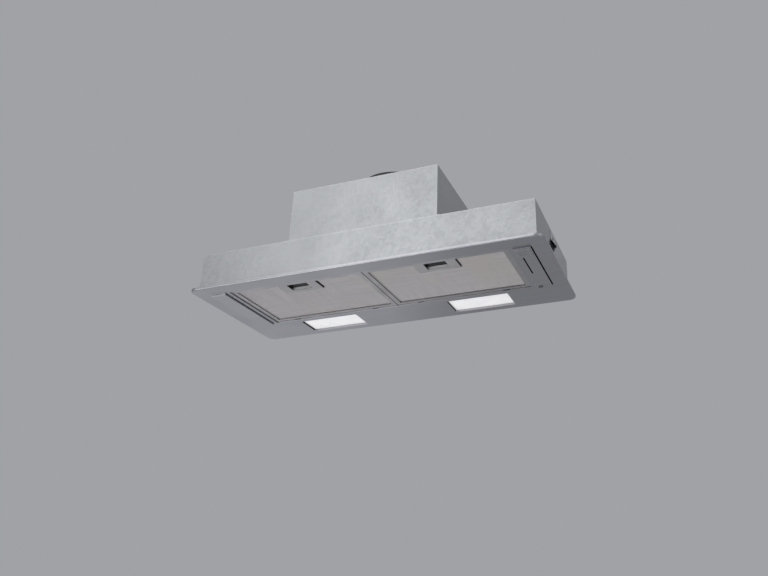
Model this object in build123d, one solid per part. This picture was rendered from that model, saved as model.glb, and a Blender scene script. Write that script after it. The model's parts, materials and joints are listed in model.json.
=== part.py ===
"""Built-in range hood: a steel face under a cabinet, two grease filters, lamps, blower and duct collar.

Millimetres. X runs to the right along the front edge, Y from the user to the wall, Z up.
The origin is the centre of the seating plane, where the trim's rim meets the cabinet's underside.
"""
import os
from math import cos, radians, sin

from build123d import *

# Trim: the pressed steel face that hides the cut-out
TRIM_W = 700.0
TRIM_D = 290.0
TRIM_CORNER = 16.0
TRIM_DEPTH = 5.0
SHEET = 1.0
RIM_ROUND = 2.0
FACE_Z = -TRIM_DEPTH
TRAY_Z = FACE_Z + SHEET

# Filter bay and what surrounds it
BAY_W = 558.0
BAY_D = 170.0
BAY_Y = -28.0
BAY_TOP = 7.4
BAY_LIP = 3.0
BAY_FRONT = BAY_Y - BAY_D / 2
BAY_REAR = BAY_Y + BAY_D / 2
MIDDLE_BAR_W = 20.0
CRADLE_FOOT = 8.0
CRADLE_FOOT_T = 0.8

# Grease filters
FILTER_GAP = 0.75
FILTER_T = 9.0
FILTER_Z = -3.0
FILTER_STRIP = 9.0
FILTER_SHEET = 0.8
MESH_RECESS = 2.5
MESH_T = 0.6
FILTER_W = BAY_W / 2 - 2 * FILTER_GAP
FILTER_D = BAY_D - 2 * FILTER_GAP
FILTER_X = FILTER_GAP + FILTER_W / 2
FILTER_TOP = FILTER_Z + FILTER_T
MESH_Z = FILTER_Z + MESH_RECESS
BACK_Z = FILTER_TOP - FILTER_SHEET - MESH_T
TAB_X = 90.0
TAB_W = 12.0
TAB_L = 5.0
TAB_T = 1.0

# Filter latch
LATCH_W = 80.0
LATCH_FRONT = -107.0
LATCH_REAR = -67.5
LATCH_TOP = 4.6
LATCH_SKIN = 1.2
POCKET_W = 42.0
POCKET_FRONT = -102.0
POCKET_REAR = -77.0
POCKET_DEPTH = 6.0
PULL_T = 3.0
LATCH_TRAVEL = 4.0
ARM_X = 25.75
ARM_W = 5.5
ARM_T = 2.4
ARM_Z = -1.5

# Side panels: the blank one on the left, the controls on the right
PANEL_W = 31.5
PANEL_D = 171.0
PANEL_X = 304.1
PANEL_Y = -27.5
PANEL_STANDS = 3.0
PANEL_BEVEL = 0.5
PANEL_SEAT = 1.5
PANEL_GAP = 2.0
PANEL_BASE_T = 1.6
SLOT_X = 298.0
SLOT_W = 3.0
SLOT_FRONT = -87.0
SLOT_REAR = -9.7
CAP_W = 28.0
CAP_FRONT = -111.0
CAP_REAR = -79.0
CAP_T = 1.0
BUTTON_Y = 53.0
BUTTON_L = 9.0
BUTTON_W = 5.0
BUTTON_STANDS = 1.2
SWITCH_BOX_TOP = 18.0
SWITCH_BOX_WALL = 1.2

# Lamps
LAMP_W = 127.0
LAMP_D = 58.0
LAMP_X = 164.0
LAMP_Y = 98.0
LAMP_CORNER = 3.0
LENS_RECESS = 4.0
LENS_T = 2.0
PAN_TOP = 38.0
PAN_T = 0.8
BULB_Z = 20.0
BULB_R = 13.0
BULB_L = 84.0
BULB_CAP_R = 8.2
BULB_CAP_L = 24.0
HOLDER_W = 21.0

# Body
BODY_W = 672.0
BODY_D = 262.0
PLENUM_TOP = 76.0
BOX_W = 304.0
BOX_D = 244.0
BOX_TOP = 190.0
BOX_FOOT = 9.0
THROAT_W = 296.0
THROAT_D = 236.0

# Blower
FAN_Y = -22.0
FAN_Z = 100.0
FAN_R = 70.0
FAN_BLADE = 12.0
FAN_HALF = 64.0
FAN_BLADES = 20
FAN_BLADE_ANGLE = 1.0
SCROLL_R = 78.0
SCROLL_GROWTH = 8.0
SCROLL_HALF = 75.0
SCROLL_WALL = 2.0
INLET_R = 56.0
MOTOR_R = 42.0
MOTOR_X = (9.0, 68.0)
BRACKET_X = SCROLL_HALF + 5
BRACKET_T = 2.0
SHAFT_R = 4.0
SHAFT_END = 64.0
SHAFT_CLEAR = 0.06
GROMMET_ANGLES = (30, 150, 270)
GROMMET_REACH = 67.0

# Outlet collar and damper
COLLAR_Y = FAN_Y + (SCROLL_R + 3 * SCROLL_GROWTH) / 2
COLLAR_R = 74.5
COLLAR_T = 1.5
COLLAR_FOOT_T = 2.0
COLLAR_FOOT_EDGE = 8.0
FLANGE_REACH = 12.0
FLANGE_SCREW_REACH = 7.0
COLLAR_TOP = 250.0
PIN_Z = 226.0
PIN_R = 2.0
PIN_SEAT_L = 6.0
FLAP_T = 1.2
FLAP_DROP = 2.8

# Electrical pieces on the body
CAPACITOR_X = (-240.0, -192.0)
CAPACITOR_Y = (-17.0, 17.0)
CAPACITOR_H = 18.0
TERMINAL_X = (195.0, 305.0)
TERMINAL_Y = (-45.0, 45.0)
TERMINAL_TOP = 104.0
TERMINAL_WALL = 2.0
GLAND_X = 275.0
GLAND_Z = 90.0
GLAND_BORE = 4.2
GLAND_THREAD_R = 7.5

# Fixing clips on the ends of the body
CLIP_W = 40.0
CLIP_T = 1.2

# Screws, with few faces because they repeat
SCREW_R = 1.6
SCREW_HOLE_R = 1.85
SCREW_HEAD_R = 3.6
SCREW_HEAD_T = 2.2

CLEAR = 0.05


def block(x, y, z):
    """A box from its low and high limits along each axis."""
    size = Box(x[1] - x[0], y[1] - y[0], z[1] - z[0])
    return Pos((x[0] + x[1]) / 2, (y[0] + y[1]) / 2, (z[0] + z[1]) / 2) * size


def slab(width, depth, corner, z, x=0.0, y=0.0):
    """A flat plate with rounded corners."""
    outline = RectangleRounded(width, depth, corner) if corner else Rectangle(width, depth)
    return extrude(Plane.XY.offset(z[0]) * Pos(x, y) * outline, amount=z[1] - z[0])


def disc(radius, z, x=0.0, y=0.0):
    """An upright cylinder between two heights."""
    return extrude(Plane.XY.offset(z[0]) * Pos(x, y) * Circle(radius), amount=z[1] - z[0])


def rod_x(radius, x, y, z):
    """A cylinder along X between two stations."""
    return extrude(Plane.YZ.offset(x[0]) * Pos(y, z) * Circle(radius), amount=x[1] - x[0])


def bottom_edges(part):
    """The outer edges that lie on the part's lowest plane."""
    return part.edges().group_by(Axis.Z)[0]


def mirrored(part):
    """The left hand copy of a part that is drawn on the right."""
    return mirror(part, about=Plane.YZ)


def screw(x, y, z, length, axis=(0, 0, 1)):
    """A hexagon head screw whose head sits at the point and whose shank runs against the axis."""
    seat = Plane(origin=(x, y, z), z_dir=axis)
    head = extrude(seat * RegularPolygon(SCREW_HEAD_R, 6), amount=SCREW_HEAD_T)
    shank = extrude(seat * RegularPolygon(SCREW_R, 8), amount=-length)
    return head + shank


def screw_hole(x, y, z, depth, axis=(0, 0, 1)):
    """The clearance hole for a screw's shank, running both ways from the point."""
    return extrude(Plane(origin=(x, y, z), z_dir=axis) * RegularPolygon(SCREW_HOLE_R, 8), amount=depth, both=True)


def panel_opening(x_sign):
    """The opening in the trim behind a side panel, with the open gap on its outer side."""
    inner = PANEL_X - PANEL_W / 2 + PANEL_SEAT
    outer = PANEL_X + PANEL_W / 2 + PANEL_GAP
    depth = (PANEL_Y - PANEL_D / 2 + PANEL_SEAT, PANEL_Y + PANEL_D / 2 - PANEL_SEAT)
    return block(sorted((x_sign * inner, x_sign * outer)), depth, (FACE_Z - 1, TRAY_Z + 1))


def make_trim_frame():
    """The folded steel face with the bay, panel and lamp openings and the walls round each lamp."""
    tray = slab(TRIM_W, TRIM_D, TRIM_CORNER, (FACE_Z, 0))
    tray = fillet(bottom_edges(tray), RIM_ROUND)
    tray -= slab(TRIM_W - 2 * SHEET, TRIM_D - 2 * SHEET, TRIM_CORNER - SHEET, (TRAY_Z, 1))
    tray -= slab(BAY_W, BAY_D, 0, (FACE_Z - 1, 0), y=BAY_Y)
    for side in (-1, 1):
        tray -= panel_opening(side)
        at = side * LAMP_X
        wall = slab(LAMP_W + 2 * SHEET, LAMP_D + 2 * SHEET, 0, (TRAY_Z, 1), at, LAMP_Y)
        tray += wall
        tray -= slab(LAMP_W, LAMP_D, LAMP_CORNER, (FACE_Z - 1, 2), at, LAMP_Y)
    return tray


def make_filter_cradle():
    """The folded surround over the bay: walls, foot, top lip, middle bar and the rear tab slots."""
    outer_w = BAY_W + 2 * SHEET
    outer_d = BAY_D + 2 * SHEET
    cradle = slab(outer_w, outer_d, 0, (TRAY_Z, BAY_TOP), y=BAY_Y)
    foot_z = (TRAY_Z, TRAY_Z + CRADLE_FOOT_T)
    cradle += slab(outer_w + 2 * CRADLE_FOOT, outer_d + 2 * CRADLE_FOOT, 0, foot_z, y=BAY_Y)
    cradle -= slab(BAY_W, BAY_D, 0, (TRAY_Z - 1, BAY_TOP - SHEET), y=BAY_Y)
    cradle -= slab(BAY_W - 2 * BAY_LIP, BAY_D - 2 * BAY_LIP, 0, (0, BAY_TOP + 1), y=BAY_Y)
    half_bar = MIDDLE_BAR_W / 2
    cradle += block((-half_bar, half_bar), (BAY_FRONT, BAY_REAR), (BAY_TOP - SHEET, BAY_TOP))
    for side in (-1, 1):
        for offset in (-TAB_X, TAB_X):
            at = side * FILTER_X + offset
            half = TAB_W / 2 + 1
            cradle -= block((at - half, at + half), (BAY_REAR - 1, BAY_REAR + 2), (TRAY_Z - 1, 3.0))
    return cradle


def make_blank_panel():
    """The plain plate on the left, with the lugs that hold it in its opening."""
    return mirrored(panel_plate())


def panel_plate():
    """A side panel: a plate that stands proud of the face, and a hollow base behind it."""
    plate_z = (FACE_Z - PANEL_STANDS, FACE_Z)
    plate = slab(PANEL_W, PANEL_D, 0, plate_z, PANEL_X, PANEL_Y)
    plate = chamfer(bottom_edges(plate), PANEL_BEVEL)
    base_w = PANEL_W - 2 * PANEL_SEAT - 1
    base_d = PANEL_D - 2 * PANEL_SEAT - 1
    base_z = (FACE_Z, 2)
    base = slab(base_w, base_d, 0, base_z, PANEL_X, PANEL_Y)
    base -= slab(base_w - 2 * PANEL_BASE_T, base_d - 2 * PANEL_BASE_T, 0, base_z, PANEL_X, PANEL_Y)
    lug_w = 12.0
    for y in (PANEL_Y - 55, PANEL_Y + 55):
        inner = PANEL_X - base_w / 2
        base += block((inner - 1.4, inner + PANEL_BASE_T), (y - lug_w / 2, y + lug_w / 2), (TRAY_Z, TRAY_Z + 2))
    return plate + base


def make_control_panel():
    """The right hand plate with the slider's slot, the button's hole and the pilot window."""
    panel = panel_plate()
    through = (FACE_Z - PANEL_STANDS - 1, FACE_Z + 1)
    panel -= block((SLOT_X - SLOT_W / 2, SLOT_X + SLOT_W / 2), (SLOT_FRONT, SLOT_REAR), through)
    hole = SlotOverall(BUTTON_L + 0.4, BUTTON_W + 0.4)
    panel -= extrude(Plane.XY.offset(through[0]) * Pos(SLOT_X, BUTTON_Y) * hole, amount=through[1] - through[0])
    base_rear = PANEL_Y + PANEL_D / 2
    panel -= block((SLOT_X - 5, SLOT_X + 5), (BUTTON_Y - BUTTON_W / 2 - 0.2, base_rear), (FACE_Z, 3))
    return panel


def make_speed_slider():
    """The thumb cap that slides on the panel's face, with its stem through the slot."""
    face = FACE_Z - PANEL_STANDS
    gap = CLEAR
    cap_d = CAP_REAR - CAP_FRONT
    cap_y = (CAP_FRONT + CAP_REAR) / 2
    cap = slab(CAP_W, cap_d, 0, (face - gap - CAP_T, face - gap), PANEL_X, cap_y)
    cap = chamfer(bottom_edges(cap), 0.4)
    for step in range(3):
        groove_y = cap_y + (step - 1) * 5
        cap -= block((PANEL_X - 9, PANEL_X + 9), (groove_y - 0.6, groove_y + 0.6), (face - gap - CAP_T - 1, face - 0.6))
    stem_x = (SLOT_X - SLOT_W / 2 + 0.2, SLOT_X + SLOT_W / 2 - 0.2)
    stem_y = (CAP_REAR - 7, CAP_REAR - 1)
    cap += block(stem_x, stem_y, (face - gap - 0.2, 0))
    cap += block((SLOT_X - 3, SLOT_X + 3), stem_y, (FACE_Z + gap, FACE_Z + 1.2))
    return cap


def make_light_button():
    """The oblong push button at the wall end of the control panel."""
    face = FACE_Z - PANEL_STANDS
    outline = SlotOverall(BUTTON_L, BUTTON_W)
    start = face - BUTTON_STANDS
    button = extrude(Plane.XY.offset(start) * Pos(SLOT_X, BUTTON_Y) * outline, amount=5.6)
    button += block((SLOT_X - 3, SLOT_X + 3), (BUTTON_Y - 1, BUTTON_Y + 1), (start + 5, -1.6))
    return button


def make_switch_box():
    """The moulded cover that closes off the control board above the panel."""
    half_w = PANEL_W / 2 - PANEL_SEAT - 0.5
    half_d = PANEL_D / 2 - PANEL_SEAT - 0.5
    wall = SWITCH_BOX_WALL
    box = block((PANEL_X - half_w, PANEL_X + half_w), (PANEL_Y - half_d, PANEL_Y + half_d), (2, SWITCH_BOX_TOP))
    box = chamfer(box.edges().group_by(Axis.Z)[-1], 1.0)
    inner_x = (PANEL_X - half_w + wall, PANEL_X + half_w - wall)
    inner_y = (PANEL_Y - half_d + wall, PANEL_Y + half_d - wall)
    return box - block(inner_x, inner_y, (1, SWITCH_BOX_TOP - wall))


def make_control_board():
    """The circuit board with the slide switch and the push switch that the controls work."""
    board_z = (6.0, 7.6)
    half_w = PANEL_W / 2 - PANEL_SEAT - 0.5 - SWITCH_BOX_WALL
    board = block((PANEL_X - half_w, PANEL_X + half_w), (PANEL_Y - 80, PANEL_Y + 80), board_z)
    track = block((SLOT_X - 3.4, SLOT_X + 4.4), (SLOT_FRONT - 2, SLOT_REAR + 2), (-2.5, board_z[0]))
    track -= block((SLOT_X - 1.6, SLOT_X + 1.6), (SLOT_FRONT + 0.5, SLOT_REAR - 0.5), (-3, 0.6))
    push = block((SLOT_X - 3.2, SLOT_X + 3.2), (BUTTON_Y - 5.2, BUTTON_Y + 1.2), (0.2, board_z[0]))
    relay = block((PANEL_X - 2, PANEL_X + 9), (5, 24), (board_z[1], 15.5))
    fuse = block((PANEL_X - 9, PANEL_X + 9), (34, 39), (board_z[1], board_z[1] + 5))
    chip = block((PANEL_X - 6, PANEL_X + 4), (-60, -40), (board_z[1], 10.5))
    return board + track + push + relay + fuse + chip


def filter_slab(inset, z):
    """A plate inside the right hand filter, inset from the filter's outline."""
    return slab(FILTER_W - 2 * inset, FILTER_D - 2 * inset, 0, z, FILTER_X, BAY_Y)


def latch_cut(grow, z):
    """The notch that the latch housing takes out of the filter's layers."""
    half = LATCH_W / 2 + grow
    return block((FILTER_X - half, FILTER_X + half), (LATCH_FRONT - grow, LATCH_REAR + grow), z)


def arm_channels(y, z):
    """The two slots that let the latch arms through to the filter's front edge."""
    half = ARM_W / 2 + 0.4
    left, right = (
        block((FILTER_X + side * ARM_X - half, FILTER_X + side * ARM_X + half), y, z) for side in (-1, 1)
    )
    return left + right


def make_filter_frame():
    """The folded channel round the filter, with its latch notch, tongue slots and rear tabs."""
    frame = filter_slab(0, (FILTER_Z, FILTER_TOP))
    frame -= filter_slab(FILTER_STRIP, (FILTER_Z - 1, FILTER_TOP + 1))
    channel = filter_slab(FILTER_SHEET, (FILTER_Z + FILTER_SHEET, FILTER_TOP - FILTER_SHEET))
    channel -= filter_slab(FILTER_STRIP - FILTER_SHEET, (FILTER_Z, MESH_Z))
    frame -= channel
    frame -= latch_cut(0, (FILTER_Z - 1, BACK_Z + MESH_T))
    frame -= arm_channels((BAY_FRONT, BAY_FRONT + 3), (ARM_Z - 0.3, ARM_Z + ARM_T + 0.3))
    for side in (-1, 1):
        tab = FILTER_X + side * TAB_X
        rear = BAY_REAR - FILTER_GAP
        frame += block((tab - TAB_W / 2, tab + TAB_W / 2), (rear - 0.4, rear + TAB_L + 1), (FILTER_Z, FILTER_Z + TAB_T))
    return frame


def make_filter_mesh():
    """The face layer of expanded metal, set above the frame's face."""
    mesh = filter_slab(FILTER_SHEET + 0.4, (MESH_Z, MESH_Z + MESH_T))
    half = ARM_X + ARM_W / 2 + 0.4
    mesh -= block((FILTER_X - half, FILTER_X + half), (BAY_FRONT, LATCH_FRONT), (MESH_Z - 1, MESH_Z + 1))
    return mesh - latch_cut(0, (MESH_Z - 1, MESH_Z + 1))


def make_filter_pad():
    """The folded inner layers that catch the grease."""
    pad = filter_slab(FILTER_SHEET + 0.4, (MESH_Z + MESH_T, BACK_Z))
    pad -= arm_channels((BAY_FRONT, LATCH_FRONT), (MESH_Z, ARM_Z + ARM_T + 0.3))
    return pad - latch_cut(0, (MESH_Z, BACK_Z + 1))


def make_filter_back_mesh():
    """The back layer of expanded metal, under the frame's upper lip."""
    return filter_slab(FILTER_SHEET + 0.4, (BACK_Z, BACK_Z + MESH_T))


def make_latch_housing():
    """The moulded latch body with its finger pocket, slider bay and two arm channels."""
    body = latch_cut(0, (FILTER_Z, LATCH_TOP))
    body = fillet(body.edges().group_by(Axis.Z)[0].sort_by(Axis.Y)[-1], 0.8)
    roof = FILTER_Z + POCKET_DEPTH
    skin_z = FILTER_Z + LATCH_SKIN
    mouth_x = (FILTER_X - POCKET_W / 2, FILTER_X + POCKET_W / 2)
    mouth = block(mouth_x, (POCKET_FRONT, POCKET_REAR), (FILTER_Z - 1, roof))
    body -= fillet(mouth.edges().filter_by(Axis.Z), 1.5)
    bay_half = ARM_X + ARM_W / 2 + 0.4
    bay = block((FILTER_X - bay_half, FILTER_X + bay_half), (POCKET_REAR - 2, LATCH_REAR - 1.5), (skin_z, roof))
    body -= bay
    return body - arm_channels((LATCH_FRONT - 1, POCKET_REAR), (skin_z, ARM_Z + ARM_T + 0.4))


def make_latch_slider():
    """The pull bar behind the finger pocket, with the two arms that reach the front edge."""
    half = ARM_X + ARM_W / 2
    low = FILTER_Z + LATCH_SKIN + 0.1
    high = FILTER_Z + POCKET_DEPTH - 0.1
    bar = block((FILTER_X - half, FILTER_X + half), (POCKET_REAR, POCKET_REAR + PULL_T), (low, high))
    for side in (-1, 1):
        at = FILTER_X + side * ARM_X
        arm_y = (BAY_FRONT + 0.3, POCKET_REAR + 0.5)
        bar += block((at - ARM_W / 2, at + ARM_W / 2), arm_y, (ARM_Z, ARM_Z + ARM_T))
    return bar


def make_latch_spring():
    """The bowed leaf that pushes the slider back to the front."""
    span = 36.0
    strip = 0.4
    rest = LATCH_REAR - 1.5 - (POCKET_REAR + PULL_T) - 0.1
    rise = rest - strip
    radius = (span * span / 4 + rise * rise) / (2 * rise)
    z = (FILTER_Z + LATCH_SKIN + 0.6, FILTER_Z + POCKET_DEPTH - 0.8)
    ends_y = LATCH_REAR - 1.5 - strip / 2
    left = (FILTER_X - span / 2, ends_y)
    right = (FILTER_X + span / 2, ends_y)
    outer = RadiusArc(left, right, radius)
    if outer.bounding_box().min.Y > ends_y - rise / 2:
        outer = RadiusArc(left, right, -radius)
    leaf = trace(outer, line_width=strip)
    return extrude(Plane.XY.offset(z[0]) * leaf, amount=z[1] - z[0])


def make_lamp_lens():
    """The moulded diffuser, a dished plate with a lip that clips into the reflector pan."""
    low = FACE_Z + LENS_RECESS
    w = LAMP_W - 1
    d = LAMP_D - 1
    lens = slab(w, d, LAMP_CORNER - 0.5, (low, low + LENS_T + 1.6), LAMP_X, LAMP_Y)
    lens -= slab(w - 5, d - 5, 0, (low + LENS_T, low + 9), LAMP_X, LAMP_Y)
    lug_z = (1.0, low + LENS_T + 1.6)
    for side in (-1, 1):
        for lug_x in (LAMP_X - 30, LAMP_X + 30):
            edge = LAMP_Y + side * (d / 2 - 0.5)
            tip = LAMP_Y + side * (LAMP_D / 2 + 0.9)
            lens += block((lug_x - 5, lug_x + 5), sorted((edge, tip)), lug_z)
    return lens


def make_lamp_reflector():
    """The pressed pan that holds the lens and throws the light down."""
    w = LAMP_W + 2 * SHEET + 0.4
    d = LAMP_D + 2 * SHEET + 0.2
    outer = slab(w + 2 * PAN_T, d + 2 * PAN_T, 0, (TRAY_Z, PAN_TOP), LAMP_X, LAMP_Y)
    outer = chamfer(outer.edges().group_by(Axis.Z)[-1], 5)
    inner = slab(w, d, 0, (TRAY_Z, PAN_TOP - PAN_T), LAMP_X, LAMP_Y)
    return outer - chamfer(inner.edges().group_by(Axis.Z)[-1], 5)


def bulb_cap(x):
    """The bulb's cap, also the shape of its socket, twelve sided between two stations."""
    face = Plane.YZ.offset(x[0]) * Pos(LAMP_Y, BULB_Z) * RegularPolygon(BULB_CAP_R, 12)
    return extrude(face, amount=x[1] - x[0])


def make_lamp_holder():
    """The moulded screw lamp holder that hangs from the pan's roof."""
    end = LAMP_X + LAMP_W / 2 + SHEET
    half = HOLDER_W / 2
    body = block((end - 26, end), (LAMP_Y - half, LAMP_Y + half), (BULB_Z - half, BULB_Z + half))
    body = chamfer(body.edges().filter_by(Axis.X), 4)
    body += block((end - 24, end - 11), (LAMP_Y - 7, LAMP_Y + 7), (BULB_Z, PAN_TOP - PAN_T))
    return body - bulb_cap((end - 27, end - 4))


def make_lamp_bulb():
    """The tubular bulb with its cap."""
    end = LAMP_X + LAMP_W / 2 + SHEET
    cap_x = end - 4
    glass_x = cap_x - BULB_CAP_L
    return bulb_cap((glass_x, cap_x)) + rod_x(BULB_R, (cap_x - BULB_L, glass_x), LAMP_Y, BULB_Z)


def make_plenum_front():
    """The front wall of the lower body, folded in along its top."""
    half = BODY_W / 2
    face = -BODY_D / 2
    wall = block((-half, half), (face, face + SHEET), (TRAY_Z, PLENUM_TOP - SHEET))
    fold_x = half - 12
    wall += block((-fold_x, fold_x), (face, face + 9), (PLENUM_TOP - 2 * SHEET, PLENUM_TOP - SHEET))
    return wall


def make_plenum_rear():
    """The wall side of the lower body, with feet on the trim between the lamps."""
    wall = mirror(make_plenum_front(), about=Plane.XZ)
    face = BODY_D / 2
    for x in ((-80, 80), (-320, -240), (240, 320)):
        wall += block(x, (face - 10, face), (TRAY_Z, TRAY_Z + SHEET))
    return wall


def clip_screw_places():
    """Where the screws of the right hand clip go, as Y and Z."""
    return [(0.0, 62.0)]


def make_plenum_end():
    """An end wall of the lower body, a shallow tray with folds on all four sides."""
    face = BODY_W / 2
    inner_y = BODY_D / 2 - SHEET
    z = (TRAY_Z, PLENUM_TOP - SHEET)
    tray = block((face - SHEET, face), (-inner_y, inner_y), z)
    for side in (-1, 1):
        fold_y = sorted((side * inner_y, side * (inner_y - SHEET)))
        tray += block((face - 11, face), fold_y, z)
    short = inner_y - 9
    tray += block((face - 10, face), (-short, short), (z[1] - SHEET, z[1]))
    tray += block((face - 10, face), (-inner_y, inner_y), (z[0], z[0] + SHEET))
    for y, height in clip_screw_places():
        tray -= screw_hole(face, y, height, 3, (1, 0, 0))
    return tray


def make_plenum_top():
    """The lid of the lower body, open under the upper box."""
    lid = slab(BODY_W, BODY_D, 0, (PLENUM_TOP - SHEET, PLENUM_TOP))
    lid -= slab(THROAT_W, THROAT_D, 0, (PLENUM_TOP - 3, PLENUM_TOP + 1))
    return lid


def make_motor_box():
    """The upper box round the blower: a folded wrap with a foot flange."""
    z = (PLENUM_TOP, BOX_TOP - SHEET)
    box = slab(BOX_W, BOX_D, 0, z)
    box += slab(BOX_W + 2 * BOX_FOOT, BOX_D + 2 * BOX_FOOT, 0, (z[0], z[0] + SHEET))
    box -= slab(BOX_W - 2 * SHEET, BOX_D - 2 * SHEET, 0, (z[0] - 1, z[1] + 1))
    return box


def collar_screw_places():
    """Where the collar is screwed to the outlet flange, one screw on each side, as X and Y."""
    return [(side * (SCROLL_HALF + FLANGE_SCREW_REACH), COLLAR_Y) for side in (-1, 1)]


def cut_collar_holes(part, z):
    """Drills the collar screw holes through a plate at the given height."""
    for x, y in collar_screw_places():
        part -= screw_hole(x, y, z, 3)
    return part


def make_top_plate():
    """The top of the upper box, with the opening over the blower's outlet."""
    plate = slab(BOX_W, BOX_D, 0, (BOX_TOP - SHEET, BOX_TOP))
    outlet_d = SCROLL_R + 3 * SCROLL_GROWTH - 2 * SCROLL_WALL
    z = (BOX_TOP - 3, BOX_TOP + 1)
    plate -= slab(2 * (SCROLL_HALF - SCROLL_WALL), outlet_d, 0, z, y=COLLAR_Y)
    return cut_collar_holes(plate, BOX_TOP)


def scroll_face(inset, top):
    """The scroll's side outline on the YZ plane: three growing quarter arcs and the outlet."""
    g = SCROLL_GROWTH
    radii = [SCROLL_R + step * g - inset for step in range(3)]
    first = (FAN_Y, FAN_Z)
    second = (FAN_Y + g, FAN_Z)
    third = (FAN_Y + g, FAN_Z + g)
    wall_y = third[0] + radii[2]
    front_y = FAN_Y + inset
    with BuildLine(Plane.XY) as line:
        CenterArc(first, radii[0], 90, 90)
        CenterArc(second, radii[1], 180, 90)
        CenterArc(third, radii[2], 270, 90)
        Polyline((wall_y, third[1]), (wall_y, top), (front_y, top), (front_y, FAN_Z + radii[0]))
        if inset:
            Line((front_y, FAN_Z + radii[0]), (FAN_Y, FAN_Z + radii[0]))
    return make_face(line.line)


def grommet_places():
    """Where the three motor mounts sit round the inlet, as Y and Z."""
    turns = [radians(angle) for angle in GROMMET_ANGLES]
    return [(FAN_Y + GROMMET_REACH * cos(turn), FAN_Z + GROMMET_REACH * sin(turn)) for turn in turns]


def make_scroll_half():
    """One half of the scroll casing, with its round inlet, outlet flange and motor mount holes."""
    top = BOX_TOP - SHEET
    side = Plane.YZ
    half = extrude(side * scroll_face(0, top), amount=SCROLL_HALF)
    reach_y = (SCROLL_R + 3 * SCROLL_GROWTH) / 2 + 8
    half += block((0, SCROLL_HALF + FLANGE_REACH), (COLLAR_Y - reach_y, COLLAR_Y + reach_y), (top - 2, top))
    half -= extrude(side * scroll_face(SCROLL_WALL, top + 1), amount=SCROLL_HALF - SCROLL_WALL)
    half -= rod_x(INLET_R, (SCROLL_HALF - SCROLL_WALL - 1, SCROLL_HALF + 1), FAN_Y, FAN_Z)
    for y, z in grommet_places():
        half -= screw_hole(SCROLL_HALF, y, z, 3, (1, 0, 0))
    return cut_collar_holes(half, top)


def polar(radius, degrees):
    """A point from its radius and its direction."""
    return (radius * cos(radians(degrees)), radius * sin(radians(degrees)))


def blade_section():
    """One blade seen along the shaft: thin, and curved forward in the way the wheel turns."""
    inner = FAN_R - FAN_BLADE
    curve = [(inner, 0.0), (inner + FAN_BLADE / 2, 2.0), (FAN_R, 8.5)]
    back = [polar(radius, angle) for radius, angle in curve]
    front = [polar(radius, angle + FAN_BLADE_ANGLE) for radius, angle in reversed(curve)]
    return make_face(Polyline(*back, *front, close=True))


def make_impeller():
    """The double inlet wheel: forward curved blades between two rings, a centre disc and a hub."""
    inner = FAN_R - FAN_BLADE
    start = FAN_HALF - 1
    at = Plane.YZ.offset(-start) * Pos(FAN_Y, FAN_Z)
    section = blade_section()
    turns = [360 * number / FAN_BLADES for number in range(FAN_BLADES)]
    blades = [extrude(at * Rot(0, 0, turn) * section, amount=2 * start) for turn in turns]
    rings = []
    for x in (-FAN_HALF, FAN_HALF - 2):
        ring = rod_x(FAN_R + 0.8, (x, x + 2), FAN_Y, FAN_Z)
        rings.append(ring - rod_x(inner - 0.5, (x - 1, x + 3), FAN_Y, FAN_Z))
    middle = rod_x(FAN_R + 0.8, (-1, 1), FAN_Y, FAN_Z)
    hub = rod_x(12, (-14, 3), FAN_Y, FAN_Z)
    wheel = middle.fuse(hub, *rings, *blades)
    return wheel - rod_x(SHAFT_R, (-20, 10), FAN_Y, FAN_Z)


def make_motor_shaft():
    """The steel shaft that carries the wheel and runs in the motor."""
    return rod_x(SHAFT_R, (-17, SHAFT_END), FAN_Y, FAN_Z)


def make_motor():
    """The motor inside the wheel, with its shell and the eight sided end cap that meets the bracket."""
    body = rod_x(MOTOR_R, MOTOR_X, FAN_Y, FAN_Z)
    cap = Plane.YZ.offset(MOTOR_X[1] - 2) * Pos(FAN_Y, FAN_Z) * RegularPolygon(32, 8)
    body += extrude(cap, amount=BRACKET_X - MOTOR_X[1] + 2)
    return body - rod_x(SHAFT_R + SHAFT_CLEAR, (0, SHAFT_END + 2), FAN_Y, FAN_Z)


def make_motor_bracket():
    """The three armed plate that hangs the motor in the right hand inlet."""
    arm_w = 14.0
    face = Plane.YZ.offset(BRACKET_X) * Pos(FAN_Y, FAN_Z)
    plate = RegularPolygon(36, 6)
    for turn in GROMMET_ANGLES:
        plate += Rot(0, 0, turn) * Pos(GROMMET_REACH / 2 + 3.5, 0) * Rectangle(GROMMET_REACH + 7, arm_w)
    bracket = extrude(face * plate, amount=BRACKET_T)
    for y, z in grommet_places():
        bracket -= screw_hole(BRACKET_X, y, z, 3, (1, 0, 0))
    return bracket


def make_motor_grommets():
    """The rubber bushes between bracket and casing."""
    bush = RegularPolygon(6.5, 8) - RegularPolygon(SCREW_HOLE_R, 8)
    face = Plane.YZ.offset(SCROLL_HALF)
    length = BRACKET_X - SCROLL_HALF
    return Compound(children=[extrude(face * Pos(y, z) * bush, amount=length) for y, z in grommet_places()])


def make_motor_screws():
    """The screws through bracket, bush and casing."""
    start = BRACKET_X + BRACKET_T
    return Compound(children=[screw(start, y, z, 10, (1, 0, 0)) for y, z in grommet_places()])


def make_capacitor():
    """The motor's run capacitor, a moulded block with two terminals, under the plenum's top."""
    top = PLENUM_TOP - SHEET
    body = chamfer(block(CAPACITOR_X, CAPACITOR_Y, (top - CAPACITOR_H, top)).edges(), 0.8)
    middle = (CAPACITOR_Y[0] + CAPACITOR_Y[1]) / 2
    for y in (middle - 5, middle + 5):
        blade_z = top - CAPACITOR_H / 2
        body += block((CAPACITOR_X[1] - 1, CAPACITOR_X[1] + 8), (y - 3, y + 3), (blade_z - 0.4, blade_z + 0.4))
    return body


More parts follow.
